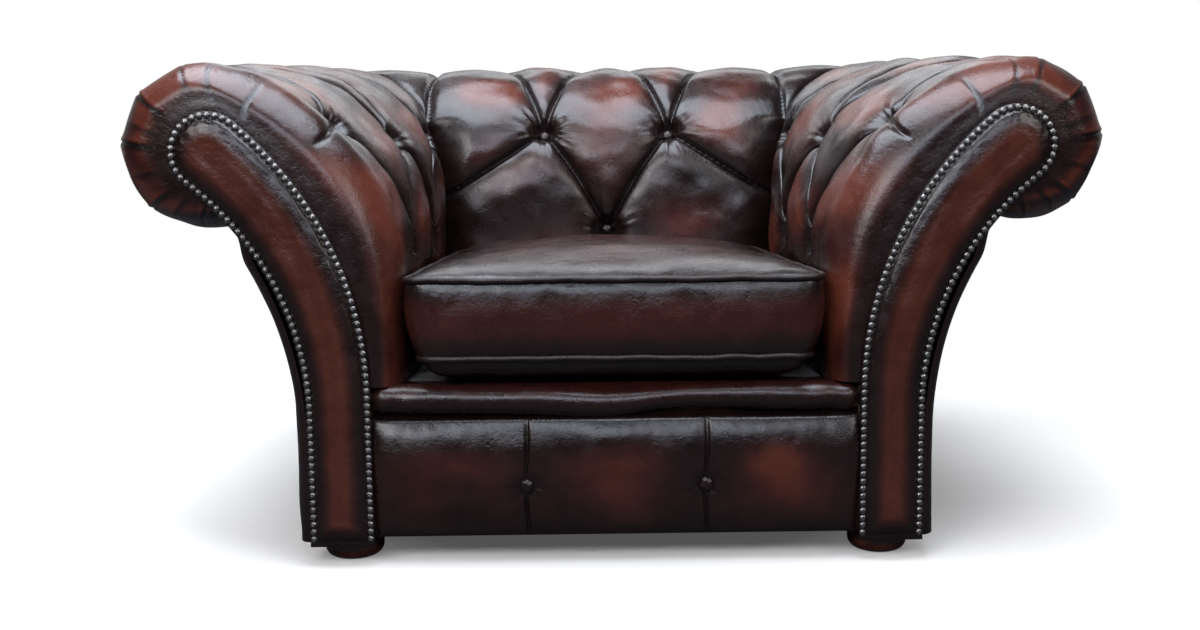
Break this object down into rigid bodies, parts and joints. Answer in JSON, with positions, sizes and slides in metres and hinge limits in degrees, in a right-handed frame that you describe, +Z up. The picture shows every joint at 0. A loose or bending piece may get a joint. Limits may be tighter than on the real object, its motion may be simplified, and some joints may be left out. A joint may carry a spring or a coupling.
{
  "type": "chesterfield armchair",
  "caption": "Low, deep club armchair with rolled scroll arms level with a rolled, deep-buttoned back, studded arm facings, a loose seat cushion and bun feet.",
  "frame": {"origin": "on the floor, under the middle of the chair's overall box", "axes": "+Z up; -Y is the front, where the sitter's legs hang; +X is the right-hand side seen from the front, and the chair is symmetric across X = 0"},
  "size_m": [1.2598, 0.9262, 0.6899],
  "materials": {
    "oxblood_leather": "antique rubbed, semi-gloss",
    "cushion_leather": "antique rubbed, semi-gloss",
    "piping_leather": "dark, semi-gloss",
    "button_leather": "dark, semi-gloss",
    "antique_nails": "antique pewter",
    "polished_mahogany": "gloss varnish",
    "beech": "sawn and planed",
    "foam": "polyurethane foam",
    "hessian": "jute",
    "black_cloth": "non-woven cloth",
    "steel": "zinc plated",
    "zip_tape": "woven tape"
  },
  "bodies": {
    "chair": {"front_rail": "beech", "back_rail": "beech", "back_top_rail": "beech", "back_tacking_rail": "beech", "corner_blocks": "beech", "right_side_rail": "beech", "left_side_rail": "beech", "right_arm_scroll_board": "beech", "left_arm_scroll_board": "beech", "right_rear_arm_board": "beech", "left_rear_arm_board": "beech", "right_arm_top_rail": "beech", "left_arm_top_rail": "beech", "right_arm_tacking_rail": "beech", "left_arm_tacking_rail": "beech", "right_back_post": "beech", "left_back_post": "beech", "frame_screws": "steel", "foot_bolts": "steel", "foot_tee_nuts": "steel", "spring_clips": "steel", "seat_springs": "steel", "front_left_foot": "polished_mahogany", "front_right_foot": "polished_mahogany", "rear_left_foot": "polished_mahogany", "rear_right_foot": "polished_mahogany", "seat_hessian": "hessian", "back_webbing": "hessian", "right_arm_webbing": "hessian", "left_arm_webbing": "hessian", "dust_cover": "black_cloth", "deck_cover": "black_cloth", "deck_pad": "foam", "right_arm_pad": "foam", "left_arm_pad": "foam", "back_pad": "foam", "platform_front_roll": "oxblood_leather", "front_border_panel": "oxblood_leather", "right_arm_facing": "oxblood_leather", "left_arm_facing": "oxblood_leather", "right_outer_arm_panel": "oxblood_leather", "left_outer_arm_panel": "oxblood_leather", "outer_back_panel": "oxblood_leather", "right_inner_arm_cover": "oxblood_leather", "left_inner_arm_cover": "oxblood_leather", "inner_back_cover": "oxblood_leather", "border_buttons": "button_leather", "right_arm_buttons": "button_leather", "left_arm_buttons": "button_leather", "back_buttons": "button_leather", "right_facing_nails": "antique_nails", "left_facing_nails": "antique_nails"},
    "cushion": {"cushion_underside": "cushion_leather", "cushion_band": "cushion_leather", "cushion_top_panel": "cushion_leather", "cushion_core": "foam", "cushion_piping_top": "piping_leather", "cushion_piping_bottom": "piping_leather", "cushion_zip": "zip_tape"},
    "slider": {"zip_slider": "steel"}
  },
  "joints": [
    {"name": "cushion_lift", "type": "slide", "parent": "chair", "child": "cushion", "axis": [0, 0, 1], "range_m": [0, 0.45]},
    {"name": "zip_slide", "type": "slide", "parent": "cushion", "child": "slider", "axis": [1, 0, 0], "range_m": [-0.376, 0]}
  ]
}
